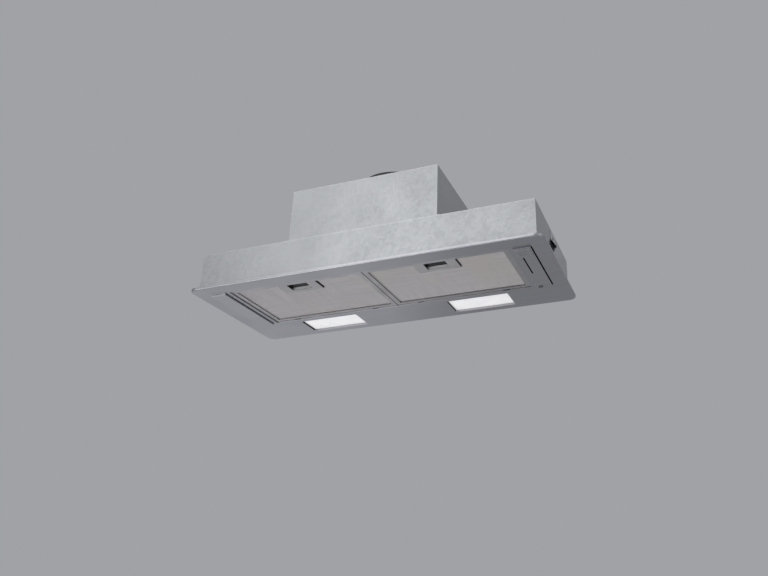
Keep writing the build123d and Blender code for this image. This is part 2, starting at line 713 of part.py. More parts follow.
def make_capacitor_strap():
    """The folded clip that holds the capacitor against the plenum's top."""
    top = PLENUM_TOP - SHEET
    x = (CAPACITOR_X[0] + 14, CAPACITOR_X[0] + 28)
    low = top - CAPACITOR_H
    y = CAPACITOR_Y
    strap = block(x, (y[0] - 1, y[1] + 1), (low - 1, top)) - block(x, y, (low, top + 1))
    for edge, side in ((y[0] - 1, -1), (y[1] + 1, 1)):
        strap += block(x, sorted((edge, edge + side * 10)), (top - 1, top))
    return strap


def make_terminal_box():
    """The terminal box on the right shoulder of the body, open under its lid."""
    z = (PLENUM_TOP, TERMINAL_TOP)
    wall = TERMINAL_WALL
    x = TERMINAL_X
    y = TERMINAL_Y
    box = chamfer(block(x, y, z).edges().filter_by(Axis.Z), 3)
    box -= block((x[0] + wall, x[1] - wall), (y[0] + wall, y[1] - wall), (z[0] + wall, z[1] + 1))
    hole = Plane(origin=(GLAND_X, y[1] - 3, GLAND_Z), z_dir=(0, 1, 0))
    return box - extrude(hole * RegularPolygon(GLAND_THREAD_R + 0.1, 8), amount=5)


def make_terminal_lid():
    """The lid of the terminal box, with its register inside the walls."""
    x = TERMINAL_X
    y = TERMINAL_Y
    z = TERMINAL_TOP
    lid = chamfer(block(x, y, (z, z + 3)).edges().filter_by(Axis.Z), 3)
    lid = chamfer(lid.edges().group_by(Axis.Z)[-1], 1)
    inset = TERMINAL_WALL + 0.2
    rib = inset + 1.5
    register = block((x[0] + inset, x[1] - inset), (y[0] + inset, y[1] - inset), (z - 3, z))
    return lid + (register - block((x[0] + rib, x[1] - rib), (y[0] + rib, y[1] - rib), (z - 4, z)))


def make_cable_gland():
    """The cable gland in the box's wall side, empty because no cord is modelled."""
    wall_y = TERMINAL_Y[1]
    face = Plane(origin=(GLAND_X, wall_y, GLAND_Z), z_dir=(0, 1, 0))
    inside = face.offset(-6)
    gland = extrude(inside * RegularPolygon(GLAND_THREAD_R, 8), amount=7)
    gland += extrude(face * RegularPolygon(11, 6), amount=5)
    gland += extrude(face * RegularPolygon(9.2, 6), amount=15)
    gland += extrude(inside * RegularPolygon(10, 6), amount=3.9)
    return gland - extrude(inside.offset(-1) * Circle(GLAND_BORE), amount=30)


def make_outlet_collar():
    """The duct collar: foot plate, round spigot, flap stops and the two open pin seats."""
    foot_top = BOX_TOP + COLLAR_FOOT_T
    foot_w = 2 * (SCROLL_HALF + FLANGE_REACH)
    foot_d = 2 * (COLLAR_R + COLLAR_FOOT_EDGE)
    outlet_d = SCROLL_R + 3 * SCROLL_GROWTH - 2 * SCROLL_WALL
    inner_r = COLLAR_R - COLLAR_T
    collar = slab(foot_w, foot_d, 0, (BOX_TOP, foot_top), y=COLLAR_Y)
    collar += disc(COLLAR_R, (BOX_TOP, COLLAR_TOP), y=COLLAR_Y)
    opening = disc(inner_r, (BOX_TOP - 1, foot_top), y=COLLAR_Y)
    half_d = outlet_d / 2
    collar -= opening & block((-100, 100), (COLLAR_Y - half_d, COLLAR_Y + half_d), (BOX_TOP - 1, foot_top))
    collar -= disc(inner_r, (foot_top, COLLAR_TOP + 1), y=COLLAR_Y)
    stop_top = PIN_Z - FLAP_DROP - 0.15
    stop = block((inner_r - 3, inner_r + 0.5), (-5, 5), (stop_top - 3, stop_top))
    for angle in (60, 120, 240, 300):
        collar += Pos(0, COLLAR_Y) * Rot(0, 0, angle) * stop
    seat = block((inner_r - PIN_SEAT_L, inner_r + 0.5), (-3.8, 3.8), (PIN_Z - 6, PIN_Z + 1.5))
    seat -= block((0, inner_r), (-PIN_R - 0.02, PIN_R + 0.02), (PIN_Z - PIN_R, PIN_Z + 4))
    for angle in (0, 180):
        collar += Pos(0, COLLAR_Y) * Rot(0, 0, angle) * seat
    return cut_collar_holes(collar, BOX_TOP)


def make_damper_pin():
    """The wire across the collar that both flaps hang on."""
    reach = COLLAR_R - COLLAR_T - 0.4
    return rod_x(PIN_R, (-reach, reach), COLLAR_Y, PIN_Z)


def make_damper_flap(side):
    """One half moon flap on the pin: the front one has a middle knuckle, the rear one two outer ones."""
    radius = COLLAR_R - COLLAR_T - 0.8
    z = (PIN_Z - FLAP_DROP, PIN_Z - FLAP_DROP + FLAP_T)
    plate = disc(radius, z, y=COLLAR_Y)
    edge = COLLAR_Y + side * 4.2
    far = COLLAR_Y + side * 100
    knuckle = Rot(0, 0, 22.5) * RegularPolygon(3.5, 8)
    plate &= block((-100, 100), sorted((edge, far)), z)
    for x in ((-22, 22),) if side < 0 else ((-44, -24), (24, 44)):
        plate += extrude(Plane.YZ.offset(x[0]) * Pos(COLLAR_Y, PIN_Z) * knuckle, amount=x[1] - x[0])
        plate += block(x, sorted((COLLAR_Y + side * 1.5, edge + side)), z)
    return plate - rod_x(PIN_R + 0.06, (-100, 100), COLLAR_Y, PIN_Z)


def make_side_clip():
    """The bowed steel strip that grips the edge of the cut-out."""
    x = BODY_W / 2
    route = FilletPolyline((x, 71), (x, 52), (x + 12, 34), (x + 0.6, 17), (x + 0.6, 7), radius=3)
    strip = Pos(CLIP_T / 2, 0) * trace(route, line_width=CLIP_T)
    clip = extrude(Plane.XZ.offset(-CLIP_W / 2) * strip, amount=CLIP_W)
    for y, z in clip_screw_places():
        clip -= screw_hole(x, y, z, 3, (1, 0, 0))
    return clip


def make_clip_screws():
    """The screws of both side clips."""
    start = BODY_W / 2 + CLIP_T
    screws = []
    for side in (-1, 1):
        screws += [screw(side * start, y, z, 6, (side, 0, 0)) for y, z in clip_screw_places()]
    return Compound(children=screws)


def make_collar_screws():
    """The screws that hold collar, top plate and scroll together."""
    start = BOX_TOP + COLLAR_FOOT_T
    return Compound(children=[screw(x, y, start, 8) for x, y in collar_screw_places()])


RIGHT_AND_LEFT = {
    "filter_frame": make_filter_frame,
    "filter_mesh": make_filter_mesh,
    "filter_pad": make_filter_pad,
    "filter_back_mesh": make_filter_back_mesh,
    "latch_housing": make_latch_housing,
    "latch_slider": make_latch_slider,
    "latch_spring": make_latch_spring,
    "lamp_lens": make_lamp_lens,
    "lamp_reflector": make_lamp_reflector,
    "lamp_holder": make_lamp_holder,
    "lamp_bulb": make_lamp_bulb,
    "plenum_end": make_plenum_end,
    "side_clip": make_side_clip,
    "scroll_casing": make_scroll_half,
}

SINGLE = {
    "trim_frame": make_trim_frame,
    "filter_cradle": make_filter_cradle,
    "blank_panel": make_blank_panel,
    "control_panel": make_control_panel,
    "speed_slider": make_speed_slider,
    "light_button": make_light_button,
    "switch_box": make_switch_box,
    "control_board": make_control_board,
    "plenum_front": make_plenum_front,
    "plenum_rear": make_plenum_rear,
    "plenum_top": make_plenum_top,
    "motor_box": make_motor_box,
    "top_plate": make_top_plate,
    "impeller": make_impeller,
    "motor_shaft": make_motor_shaft,
    "motor": make_motor,
    "motor_bracket": make_motor_bracket,
    "motor_grommets": make_motor_grommets,
    "motor_screws": make_motor_screws,
    "capacitor": make_capacitor,
    "capacitor_strap": make_capacitor_strap,
    "terminal_box": make_terminal_box,
    "terminal_lid": make_terminal_lid,
    "cable_gland": make_cable_gland,
    "outlet_collar": make_outlet_collar,
    "damper_pin": make_damper_pin,
    "clip_screws": make_clip_screws,
    "collar_screws": make_collar_screws,
}


def main():
    """Writes one file for each piece."""
    os.makedirs("parts", exist_ok=True)
    pieces = {name: make() for name, make in SINGLE.items()}
    for name, make in RIGHT_AND_LEFT.items():
        pieces[name + "_right"] = make()
        pieces[name + "_left"] = mirrored(pieces[name + "_right"])
    pieces["damper_flap_front"] = make_damper_flap(-1)
    pieces["damper_flap_rear"] = make_damper_flap(1)
    for name, piece in pieces.items():
        export_step(piece, f"parts/{name}.step")
        print(name, len(piece.solids()), "solid", round(piece.volume), "mm3")


main()
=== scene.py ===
import json
from math import cos, pi, radians, sin

import bmesh
import bpy
from mathutils import Matrix, Vector


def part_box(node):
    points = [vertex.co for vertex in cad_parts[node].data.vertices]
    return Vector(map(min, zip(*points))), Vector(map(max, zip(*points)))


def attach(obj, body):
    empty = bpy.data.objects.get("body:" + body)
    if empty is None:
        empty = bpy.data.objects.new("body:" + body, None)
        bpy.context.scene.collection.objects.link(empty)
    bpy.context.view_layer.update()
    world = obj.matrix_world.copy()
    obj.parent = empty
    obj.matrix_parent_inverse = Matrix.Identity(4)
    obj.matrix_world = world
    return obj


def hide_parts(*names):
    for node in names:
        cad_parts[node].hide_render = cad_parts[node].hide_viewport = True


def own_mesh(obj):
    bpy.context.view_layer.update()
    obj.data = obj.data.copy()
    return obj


# Looks of the built-in range hood: its finishes, some with painted shade and painted highlights, the expanded
# metal and folded foil of its filters, its latch springs, spot welds and lamp seals that also paint shade,
# with a floor, soft light and the photograph's camera.
# Lengths are in metres, in the frame of the imported model: X along the front edge, Y to the wall, Z up.

SIDES = ("left", "right")

# Camera: its place and axes come from fitting the face's edges and openings to the photograph
CAMERA_PLACE = (0.578289, -1.210774, -0.583191)
CAMERA_RIGHT = (0.94982826, 0.3126262, -0.00954657)
CAMERA_DOWN = (-0.13544552, 0.38361835, -0.91350505)
CAMERA_FORWARD = (-0.28192337, 0.86896595, 0.40671537)
FOCAL_PIXELS = 740.73
PICTURE_WIDTH = 768
SENSOR = 36.0
CAMERA_SHIFT_X = -0.12

# Expanded metal of the filters: length and width of its diamonds, and its strands' width and thickness
FACE_CELL = (0.0052, 0.0028)
INNER_CELL = (0.0074, 0.0040)
BACK_CELL = (0.0090, 0.0050)
STRAND = 0.00105
STRAND_T = 0.0004

# Filter layers: gap to the frame, room round the latch, and how far two layers lie above the pad's lower side
LAYER_GAP = Vector((0.0015, 0.0015, 0))
LATCH_ROOM = Vector((0.001, 0.001, 0))
INNER_MESH_RISE = 0.0007
CORE_RISE = 0.0016

# Folded foil of the filters: pitch and depth of its waves, and the stations drawn for each wave
CORE_PITCH = 0.006
CORE_WAVE = 0.0008
CORE_STATIONS = 4

# Height of the circuit board's lower side, under which the switch bodies hang
BOARD_Z = 0.006

# Height from which the latch housing's inside is painted dark, as painted shade
LATCH_SHADE_Z = -0.0014

# Latch spring: thickness of its strip and steps along its bow
SPRING_STRIP = 0.0004
SPRING_STEPS = 28

# Spot welds: radius and height of the rings of each mark, facets round it, and the marks' distances and rows
WELD_RINGS = ((0.0032, 0.0), (0.0024, 0.00012), (0.0014, 0.00026))
WELD_FACETS = 16
FOOT_SHEET = 0.001
FOOT_WELD_EDGE = 0.0045
FOOT_WELD_ROWS = range(-2, 3)
END_WELD_PITCH = 0.046
FRONT_WELD_PITCH = 0.052
LID_WELD_EDGE = 0.005
LID_WELD_REACHES = (0.190, 0.235, 0.280, 0.325)

# Lamp seals, which also paint the shade on the windows' short walls: gap between lens and window wall,
# distance from the window's corners, and their lower edge
LENS_GAP = 0.0005
SEAL_CORNER = 0.005
SEAL_Z = -0.0044
SEAL_TOP_GAP = 0.0002

# Share of a colour that is left in recesses and corners, as painted shade
RECESS_SHADE_METAL = 0.12
RECESS_SHADE_PLASTIC = 0.06

FLOOR_Z = -1.55
FLOOR_SIZE = 9
LIGHT_TARGET = (0, 0, 0.05)


def surface(name, colour, roughness, metallic=0.0):
    """A material with the plain values of its shader set, and its node tree."""
    material = bpy.data.materials.new(name)
    material.use_nodes = True
    shader = material.node_tree.nodes["Principled BSDF"]
    shader.inputs["Base Color"].default_value = (*colour, 1)
    shader.inputs["Roughness"].default_value = roughness
    shader.inputs["Metallic"].default_value = metallic
    return material, material.node_tree, shader


def place(tree, scale):
    """Coordinates in metres that stay with the piece, stretched along each axis."""
    coordinates = tree.nodes.new("ShaderNodeTexCoord")
    mapping = tree.nodes.new("ShaderNodeMapping")
    mapping.inputs["Scale"].default_value = scale
    tree.links.new(coordinates.outputs["Object"], mapping.inputs["Vector"])
    return mapping.outputs["Vector"]


def noise(tree, scale, detail=2.0, roughness=0.5):
    """A noise value from 0 to 1 whose grains have the given counts per metre along each axis."""
    texture = tree.nodes.new("ShaderNodeTexNoise")
    texture.inputs["Scale"].default_value = 1.0
    texture.inputs["Detail"].default_value = detail
    texture.inputs["Roughness"].default_value = roughness
    tree.links.new(place(tree, scale), texture.inputs["Vector"])
    return texture.outputs["Fac"]


def cells(tree, scale):
    """A value from 0 to 1 that is even inside each crystal-like cell."""
    texture = tree.nodes.new("ShaderNodeTexVoronoi")
    texture.inputs["Scale"].default_value = 1.0
    tree.links.new(place(tree, scale), texture.inputs["Vector"])
    split = tree.nodes.new("ShaderNodeSeparateColor")
    tree.links.new(texture.outputs["Color"], split.inputs["Color"])
    return split.outputs["Red"]


def spread(tree, value, low, high, start=0.3, end=0.7):
    """A value between low and high as the given one goes from start to end."""
    ranged = tree.nodes.new("ShaderNodeMapRange")
    for name, number in (("From Min", start), ("From Max", end), ("To Min", low), ("To Max", high)):
        ranged.inputs[name].default_value = number
    tree.links.new(value, ranged.inputs["Value"])
    return ranged.outputs["Result"]


def math(tree, operation, first, second):
    """Two values, or a value and a number, put through one operation."""
    step = tree.nodes.new("ShaderNodeMath")
    step.operation = operation
    for socket, value in zip(step.inputs, (first, second)):
        if isinstance(value, (int, float)):
            socket.default_value = value
        else:
            tree.links.new(value, socket)
    return step.outputs["Value"]


def blend_colours(tree, factor, first, second):
    """A colour between two, by the factor."""
    mix = tree.nodes.new("ShaderNodeMix")
    mix.data_type = "RGBA"
    colours = [socket for socket in mix.inputs if socket.type == "RGBA"]
    for socket, colour in zip(colours, (first, second)):
        if isinstance(colour, tuple):
            socket.default_value = (*colour, 1)
        else:
            tree.links.new(colour, socket)
    tree.links.new(factor, mix.inputs["Factor"])
    return next(socket for socket in mix.outputs if socket.type == "RGBA")


def bump(tree, shader, height, distance):
    """Lets a height, from 0 to 1 times the distance in metres, shade the surface."""
    made = tree.nodes.new("ShaderNodeBump")
    made.inputs["Strength"].default_value = 1.0
    made.inputs["Distance"].default_value = distance
    tree.links.new(height, made.inputs["Height"])
    tree.links.new(made.outputs["Normal"], shader.inputs["Normal"])


def edge_wear_and_highlight(tree, radius):
    """A value that rises towards 1 on the piece's outer edges."""
    geometry = tree.nodes.new("ShaderNodeNewGeometry")
    bevel = tree.nodes.new("ShaderNodeBevel")
    bevel.samples = 4
    bevel.inputs["Radius"].default_value = radius
    compare = tree.nodes.new("ShaderNodeVectorMath")
    compare.operation = "DOT_PRODUCT"
    tree.links.new(bevel.outputs["Normal"], compare.inputs[0])
    tree.links.new(geometry.outputs["Normal"], compare.inputs[1])
    return spread(tree, compare.outputs["Value"], 1.0, 0.0, 0.75, 0.98)


def painted_recess_shade(tree, reach, low=0.4, high=0.75):
    """Painted shade: a value that falls from 1 towards 0 in recesses and corners, except on sides that face
    the front, which are kept lit.
    """
    shade = tree.nodes.new("ShaderNodeAmbientOcclusion")
    shade.samples = 8
    shade.inputs["Distance"].default_value = reach
    coordinates = tree.nodes.new("ShaderNodeTexCoord")
    split = tree.nodes.new("ShaderNodeSeparateXYZ")
    tree.links.new(coordinates.outputs["Normal"], split.inputs["Vector"])
    # Sides that face the front are kept lit, as painted light.
    front_kept_lit = spread(tree, split.outputs["Y"], 1.0, 0.0, -0.9, -0.6)
    return math(tree, "MAXIMUM", front_kept_lit, spread(tree, shade.outputs["AO"], 0.0, 1.0, low, high))


def toned(colour, factor, lift=0.0):
    """A colour made darker or lighter by the factor."""
    return tuple(min(1.0, channel * factor + lift) for channel in colour)


def shades(colour, spread_by):
    """A darker and a lighter version of a colour."""
    return toned(colour, 1 - spread_by), toned(colour, 1 + spread_by)


def brushed_steel(name, colour, roughness, depth=0.000012):
    """Stainless steel brushed along X: long fine scratches, a few broad streaks and faint clouds, with a
    painted highlight on its outer edges and painted shade in its recesses and corners.
    """
    material, tree, shader = surface(name, colour, roughness, 1.0)
    fine = noise(tree, (30, 2600, 2600), 3.0, 0.6)
    broad = noise(tree, (5, 420, 420), 2.0)
    clouds = noise(tree, (7, 9, 9), 2.0)
    grain = math(tree, "ADD", math(tree, "MULTIPLY", fine, 0.6), math(tree, "MULTIPLY", broad, 0.4))
    dark, light = shades(colour, 0.14)
    streaked = blend_colours(tree, spread(tree, grain, 0.0, 1.0), dark, light)
    cool = (colour[0] * 0.96, colour[1], colour[2] * 1.05)
    tinted = blend_colours(tree, spread(tree, clouds, 0.0, 0.5, 0.4, 0.7), streaked, cool)
    # Outer edges are lightened, as a painted highlight.
    edge_highlighted = blend_colours(tree, edge_wear_and_highlight(tree, 0.0014), tinted, toned(colour, 1.6))
    # Recesses and corners are darkened towards near-black, as painted shade.
    darkened_in_recesses = blend_colours(tree, painted_recess_shade(tree, 0.005), toned(colour, RECESS_SHADE_METAL), edge_highlighted)
    tree.links.new(darkened_in_recesses, shader.inputs["Base Color"])
    rough = math(tree, "ADD", spread(tree, grain, -0.07, 0.07),
                 spread(tree, clouds, roughness - 0.04, roughness + 0.05))
    tree.links.new(rough, shader.inputs["Roughness"])
    bump(tree, shader, grain, depth)
    return material


def galvanised(name, colour, roughness=0.42):
    """Zinc coated sheet: pale crystals of slightly different tone, handling marks and duller patches."""
    material, tree, shader = surface(name, colour, roughness, 0.9)
    crystals = cells(tree, (170, 170, 170))
    clouds = noise(tree, (14, 14, 14), 3.0)
    fine = noise(tree, (900, 900, 900), 2.0)
    dark, light = shades(colour, 0.09)
    speckled = blend_colours(tree, crystals, dark, light)
    tone = blend_colours(tree, spread(tree, clouds, 0.0, 0.45), speckled, toned(colour, 0.94))
    worn = blend_colours(tree, edge_wear_and_highlight(tree, 0.0012), tone, toned(colour, 1.3))
    tree.links.new(worn, shader.inputs["Base Color"])
    rough = math(tree, "ADD", spread(tree, crystals, roughness - 0.05, roughness + 0.05, 0.0, 1.0),
                 spread(tree, clouds, -0.02, 0.03))
    tree.links.new(rough, shader.inputs["Roughness"])
    bump(tree, shader, fine, 0.00003)
    return material


def aluminium(name, colour, roughness=0.36, shade_recesses=True):
    """Bright rolled aluminium: faint rolling lines, a thin dulling from handling and, unless turned off,
    painted shade in corners and recesses.
    """
    material, tree, shader = surface(name, colour, roughness, 1.0)
    lines = noise(tree, (1400, 60, 900), 2.0)
    clouds = noise(tree, (22, 22, 22), 3.0)
    dark, light = shades(colour, 0.1)
    tone = blend_colours(tree, spread(tree, lines, 0.0, 1.0), dark, light)
    dulled = blend_colours(tree, spread(tree, clouds, 0.0, 0.4), tone, toned(colour, 0.85))
    # Corners and recesses are darkened towards near-black, as painted shade.
    if shade_recesses:
        dulled = blend_colours(tree, painted_recess_shade(tree, 0.004), toned(colour, RECESS_SHADE_METAL), dulled)
    tree.links.new(dulled, shader.inputs["Base Color"])
    tree.links.new(spread(tree, clouds, roughness - 0.06, roughness + 0.1), shader.inputs["Roughness"])
    bump(tree, shader, lines, 0.00001)
    return material


def mesh_foil(name, colour, roughness=0.45):
    """The foil of the expanded metal, with faint crossing bands of painted light and shade that stand in for
    the moiré and waves of its rolled sheets.
    """
    material, tree, shader = surface(name, colour, roughness, 1.0)
    along = noise(tree, (9, 125, 9), 1.0)
    across = noise(tree, (200, 9, 9), 1.0)
    region = spread(tree, noise(tree, (4.5, 2.5, 2.5), 1.0), 0.0, 1.0, 0.42, 0.58)
    turned = math(tree, "SUBTRACT", 1.0, region)
    bands = math(tree, "ADD", math(tree, "MULTIPLY", along, region),
                 math(tree, "MULTIPLY", across, turned))
    dark, light = shades(colour, 0.045)
    # The bands lighten and darken the foil's colour, as painted light and shade for the moiré of its layers.
    moire_shaded = blend_colours(tree, spread(tree, bands, 0.0, 1.0, 0.36, 0.64), dark, light)
    warm = (colour[0], colour[1] * 0.98, colour[2] * 0.90)
    tinted = blend_colours(tree, spread(tree, noise(tree, (7, 3, 3)), 0.0, 0.6, 0.5, 0.7), moire_shaded, warm)
    tree.links.new(tinted, shader.inputs["Base Color"])
    tree.links.new(spread(tree, bands, roughness - 0.04, roughness + 0.04), shader.inputs["Roughness"])
    bump(tree, shader, noise(tree, (1400, 1400, 1400)), 0.00001)
    return material


def moulded(name, colour, roughness=0.5, grain=0.00004, count=1500, specular=0.5, shade_recesses=None):
    """Moulded plastic: fine spark-eroded grain, a little uneven gloss, paler worn edges, and painted shade in
    recesses where asked.
    """
    material, tree, shader = surface(name, colour, roughness)
    shader.inputs["Specular IOR Level"].default_value = specular
    texture = noise(tree, (count, count, count), 3.0, 0.6)
    clouds = noise(tree, (18, 18, 18), 2.0)
    dark, light = shades(colour, 0.12)
    tone = blend_colours(tree, spread(tree, clouds, 0.0, 1.0), dark, light)
    worn = blend_colours(tree, edge_wear_and_highlight(tree, 0.0006), tone, toned(colour, 1.35, 0.01))
    # Recesses are darkened towards near-black when asked, as painted shade.
    if shade_recesses:
        worn = blend_colours(tree, painted_recess_shade(tree, *shade_recesses), toned(colour, RECESS_SHADE_PLASTIC), worn)
    tree.links.new(worn, shader.inputs["Base Color"])
    rough = math(tree, "ADD", spread(tree, texture, -0.06, 0.06),
                 spread(tree, clouds, roughness - 0.05, roughness + 0.08))
    tree.links.new(rough, shader.inputs["Roughness"])
    bump(tree, shader, texture, grain)
    return material


def lit_diffuser(name):
    """The lamp's frosted window: white plastic that glows, a little unevenly."""
    material, tree, shader = surface(name, (0.90, 0.895, 0.90), 0.5)
    frost = noise(tree, (1700, 1700, 1700), 2.0)
    clouds = noise(tree, (30, 45, 30), 2.0)
    frosted = blend_colours(tree, spread(tree, frost, 0.0, 1.0), (0.86, 0.855, 0.86), (0.93, 0.925, 0.93))
    tree.links.new(frosted, shader.inputs["Base Color"])
    shader.inputs["Emission Color"].default_value = (0.985, 0.975, 1.0, 1)
    tree.links.new(spread(tree, clouds, 0.35, 0.43), shader.inputs["Emission Strength"])
    bump(tree, shader, frost, 0.00005)
    return material


def glass(name, colour):
    """Opal glass of the bulbs, with a faint unevenness."""
    material, tree, shader = surface(name, colour, 0.15)
    shader.inputs["Coat Weight"].default_value = 0.6
    clouds = noise(tree, (60, 60, 60), 2.0)
    uneven = blend_colours(tree, spread(tree, clouds, 0.0, 1.0), *shades(colour, 0.06))
    tree.links.new(uneven, shader.inputs["Base Color"])
    tree.links.new(spread(tree, clouds, 0.10, 0.22), shader.inputs["Roughness"])
    return material


def paint_shade_above(material, height, colour):
    """Paints the colour over the material above a height inside the piece, as painted shade."""
    tree = material.node_tree
    shader = tree.nodes["Principled BSDF"]
    outer = shader.inputs["Base Color"].links[0].from_socket
    split = tree.nodes.new("ShaderNodeSeparateXYZ")
    tree.links.new(place(tree, (1, 1, 1)), split.inputs["Vector"])
    inside = spread(tree, split.outputs["Z"], 0.0, 1.0, height, height + 0.0008)
    tree.links.new(blend_colours(tree, inside, outer, colour), shader.inputs["Base Color"])
    return material


def circuit_board(name):
    """Green solder resist with copper tracks, and dark switch bodies below the board."""
    material, tree, shader = surface(name, (0.03, 0.16, 0.07), 0.35)
    tracks = tree.nodes.new("ShaderNodeTexBrick")
    tracks.inputs["Scale"].default_value = 1.0
    tracks.inputs["Brick Width"].default_value = 9.0
    tracks.inputs["Row Height"].default_value = 2.4
    tracks.inputs["Mortar Size"].default_value = 0.35
    tracks.inputs["Color1"].default_value = (0.02, 0.13, 0.055, 1)
    tracks.inputs["Color2"].default_value = (0.03, 0.17, 0.075, 1)
    tracks.inputs["Mortar"].default_value = (0.10, 0.30, 0.10, 1)
    tree.links.new(place(tree, (1000, 1000, 1000)), tracks.inputs["Vector"])
    split = tree.nodes.new("ShaderNodeSeparateXYZ")
    tree.links.new(place(tree, (1, 1, 1)), split.inputs["Vector"])
    on_board = spread(tree, split.outputs["Z"], 0.0, 1.0, BOARD_Z - 0.0002, BOARD_Z - 0.0001)
    board = blend_colours(tree, on_board, (0.07, 0.07, 0.072), tracks.outputs["Color"])
    tree.links.new(board, shader.inputs["Base Color"])
    fine = noise(tree, (800, 800, 800), 2.0)
    tree.links.new(spread(tree, fine, 0.28, 0.45), shader.inputs["Roughness"])
    bump(tree, shader, fine, 0.00002)
    return material


def make_materials():
    """One finish for each material slot of the record, and those of single pieces."""
    return {
        "brushed_face": brushed_steel("brushed_face", (0.438, 0.436, 0.459), 0.36),
        "panel_steel": brushed_steel("panel_steel", (0.442, 0.440, 0.460), 0.34),
        "black_plastic": moulded("black_plastic", (0.034, 0.034, 0.037), 0.42),
        "circuit_board": circuit_board("circuit_board"),
        "galvanised_body": galvanised("galvanised_body", (0.46, 0.47, 0.48)),
        "filter_aluminium": aluminium("filter_aluminium", (0.50, 0.49, 0.50)),
        "filter_layers": aluminium("filter_layers", (0.80, 0.77, 0.77), 0.55, False),
        # The latch plastic has painted shade: strong darkening in its pocket, and near-black above a height
        # inside the housing.
        "latch_plastic": paint_shade_above(
            moulded("latch_plastic", (0.47, 0.465, 0.48), 0.42, shade_recesses=(0.025, 0.6, 0.92)),
            LATCH_SHADE_Z,
            (0.012, 0.012, 0.013),
        ),
        "spring_steel": galvanised("spring_steel", (0.55, 0.55, 0.57), 0.3),
        "lamp_diffuser": lit_diffuser("lamp_diffuser"),
        "reflector": aluminium("reflector", (0.80, 0.80, 0.80), 0.25),
        "lamp_ceramic": moulded("lamp_ceramic", (0.72, 0.70, 0.64), 0.3, 0.00002),
        "lamp_glass": glass("lamp_glass", (0.88, 0.87, 0.83)),
        "casing_plastic": moulded("casing_plastic", (0.045, 0.046, 0.05), 0.5),
        "wheel_steel": galvanised("wheel_steel", (0.52, 0.53, 0.54)),
        "motor_shell": moulded("motor_shell", (0.10, 0.105, 0.115), 0.45),
        "bright_steel": galvanised("bright_steel", (0.66, 0.66, 0.67), 0.3),
        "rubber_mounts": moulded("rubber_mounts", (0.02, 0.02, 0.02), 0.7, 0.00006, 900, 0.3),
        "white_plastic": moulded("white_plastic", (0.70, 0.70, 0.67), 0.45),
        "mesh_foil": mesh_foil("mesh_foil", (0.78, 0.75, 0.756)),
        # A much lighter copy of the latch plastic for the latch sliders, as painted light against the shade
        # of their pocket.
        "lightened_latch_plastic": moulded("lightened_latch_plastic", (0.88, 0.875, 0.89), 0.42),
        "button_grey": moulded("button_grey", (0.13, 0.13, 0.135), 0.42),
    }


def dress_nodes(materials):
    """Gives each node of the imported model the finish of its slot, or its own where it has one."""
    slot_of = {row["node"]: row["material_slot"] for row in frame["record"]["subparts"]}
    for name, node in frame["nodes"].items():
        if name in slot_of:
            for slot in node.material_slots:
                slot.material = materials[slot_of[name]]
    # The latch sliders get the lighter copy of the latch plastic, as painted light in their shaded pocket.
    for name, finish in (("latch_slider_left", "lightened_latch_plastic"), ("latch_slider_right", "lightened_latch_plastic"),
                         ("light_button", "button_grey")):
        for slot in frame["nodes"][name].material_slots:
            slot.material = materials[finish]


def mesh_object(name, build):
    """A new object whose mesh the given function draws."""
    drawn = bmesh.new()
    build(drawn)
    mesh = bpy.data.meshes.new(name)
    drawn.to_mesh(mesh)
    drawn.free()
    made = bpy.data.objects.new(name, mesh)
    bpy.context.scene.collection.objects.link(made)
    return made


def expanded_metal(drawn, low, high, z, cell, holes):
    """A sheet of expanded metal: slanted strands round diamond openings, as one closed solid."""
    long_step, short_step = cell[0] / 2, cell[1] / 2
    columns = int((high.x - low.x) / long_step)
    rows = int((high.y - low.y) / short_step)
    half = STRAND / 2
    rise = STRAND_T * 0.8
    around = ((half * 1.6, 0, 0), (0, half, -rise), (-half * 1.6, 0, 0), (0, -half, rise))

    def open_at(x, y):
        return any(box[0].x < x < box[1].x and box[0].y < y < box[1].y for box in holes)

    corners = {}
    for row in range(rows + 1):
        for column in range(row % 2, columns + 1, 2):
            x = low.x + column * long_step
            y = low.y + row * short_step
            if open_at(x, y):
                continue
            corners[column, row] = [
                [drawn.verts.new((x + dx, y + dy, z + dz + layer)) for dx, dy, dz in around]
                for layer in (0.0, STRAND_T)
            ]
    met = {key: set() for key in corners}
    for (column, row), (under, over) in corners.items():
        drawn.faces.new(reversed(under))
        drawn.faces.new(over)
        for side, near, far in ((1, (0, 1), (3, 2)), (-1, (2, 1), (3, 0))):
            neighbour = (column + side, row + 1)
            other = corners.get(neighbour)
            if other is None:
                continue
            met[column, row].add(frozenset(near))
            met[neighbour].add(frozenset(far))
            for layer in (0, 1):
                mine, theirs = (under, over)[layer], other[layer]
                drawn.faces.new((mine[near[0]], theirs[far[0]], theirs[far[1]], mine[near[1]]))
            for end, their_end in zip(near, far):
                drawn.faces.new((under[end], other[0][their_end], other[1][their_end], over[end]))
    for key, (under, over) in corners.items():
        for index in range(4):
            after = (index + 1) % 4
            if frozenset((index, after)) not in met[key]:
                drawn.faces.new((under[index], under[after], over[after], over[index]))
    bmesh.ops.recalc_face_normals(drawn, faces=drawn.faces)


